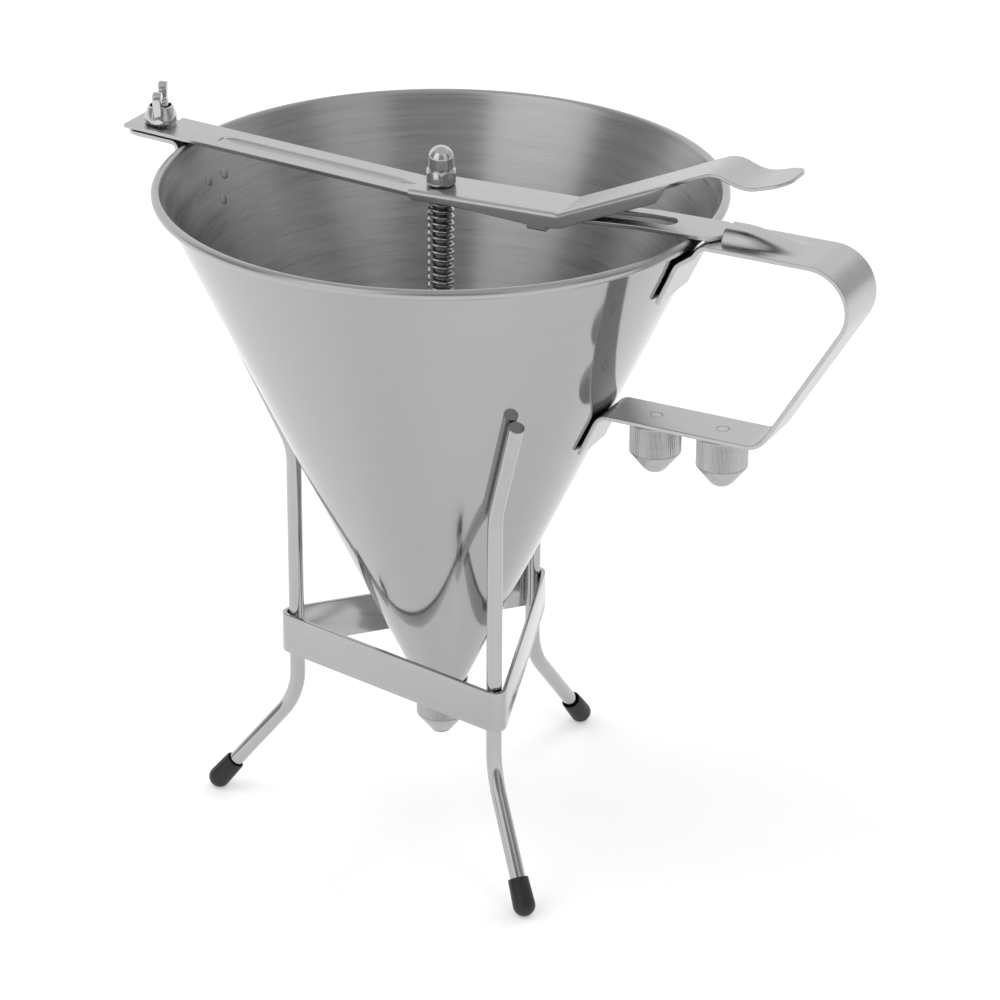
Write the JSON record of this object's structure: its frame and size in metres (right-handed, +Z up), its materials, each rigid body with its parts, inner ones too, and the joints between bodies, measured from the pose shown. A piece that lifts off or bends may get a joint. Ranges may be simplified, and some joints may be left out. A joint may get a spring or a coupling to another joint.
{
  "type": "dispensing funnel",
  "caption": "Steel cone funnel with a sprung valve rod lifted by a thumb lever, a strip handle with spare nozzles below it, on a wire stand with rubber feet.",
  "frame": {"origin": "on the floor, under the middle of the whole object's bounding box", "axes": "+Z up along the funnel's axis, +X towards the handle, +Y to the side where the bar's notch opens"},
  "size_m": [0.2778, 0.1976, 0.2685],
  "materials": {
    "polished_steel": "finely satined and nearly mirror bright outside, brushed round the inside",
    "bright_steel": "bright stainless steel of a bought nut",
    "brushed_steel": "satin sheet steel, brushed along its length",
    "machined_steel": "turned stainless steel with fine rings",
    "wire_steel": "drawn wire with a soft shine",
    "white_silicone": "smooth and slightly translucent",
    "black_rubber": "moulded, slightly shiny"
  },
  "bodies": {
    "stand": {"stand_band": "brushed_steel", "stand_leg_front": "wire_steel", "stand_leg_back": "wire_steel", "stand_leg_left": "wire_steel", "rubber_foot_front": "black_rubber", "rubber_foot_back": "black_rubber", "rubber_foot_left": "black_rubber"},
    "funnel": {"funnel_cone": "polished_steel", "outlet_spout": "machined_steel", "nozzle_seal": "white_silicone", "handle_strip": "brushed_steel", "nozzle_post_inner": "machined_steel", "nozzle_post_outer": "machined_steel", "cross_bar": "brushed_steel", "bar_bracket": "brushed_steel", "clamp_stud": "machined_steel", "valve_spring": "wire_steel"},
    "lever": {"thumb_lever": "brushed_steel"},
    "valve": {"valve_rod": "machined_steel", "valve_plug": "machined_steel", "acorn_nut": "bright_steel", "spring_collar": "machined_steel", "collar_pin": "machined_steel"},
    "wing": {"wing_nut": "bright_steel"},
    "nozzle": {"fitted_nozzle": "machined_steel"},
    "spare_inner": {"spare_nozzle_inner": "machined_steel"},
    "spare_outer": {"spare_nozzle_outer": "machined_steel"}
  },
  "joints": [
    {"name": "funnel_lift", "type": "slide", "parent": "stand", "child": "funnel", "axis": [0, 0, 1], "range_m": [0, 0.17]},
    {"name": "lever_press", "type": "hinge", "parent": "funnel", "child": "lever", "pos_m": [0.03087, 0, 0.2421], "axis": [0, 1, 0], "range_deg": [0, 10.5], "stiffness_Nm_per_rad": 3.84, "springref_deg": -6.56},
    {"name": "valve_lift", "type": "slide", "parent": "funnel", "child": "valve", "axis": [0, 0, 1], "range_m": [0, 0.00914], "deforming": ["valve_spring"]},
    {"name": "wing_nut_turn", "type": "hinge", "parent": "funnel", "child": "wing", "pos_m": [-0.12853, 0, 0.2525], "axis": [0, 0, 1], "continuous": true},
    {"name": "nozzle_turn", "type": "hinge", "parent": "funnel", "child": "nozzle", "pos_m": [-0.01683, 0, 0.041], "axis": [0, 0, 1], "continuous": true},
    {"name": "spare_inner_turn", "type": "hinge", "parent": "funnel", "child": "spare_inner", "pos_m": [0.06587, 0, 0.1616], "axis": [0, 0, 1], "continuous": true},
    {"name": "spare_outer_turn", "type": "hinge", "parent": "funnel", "child": "spare_outer", "pos_m": [0.09077, 0, 0.1616], "axis": [0, 0, 1], "continuous": true}
  ],
  "couplings": [
    {"joint": "lever_press", "follows": "valve_lift", "rad_per_m": 19.084}
  ]
}
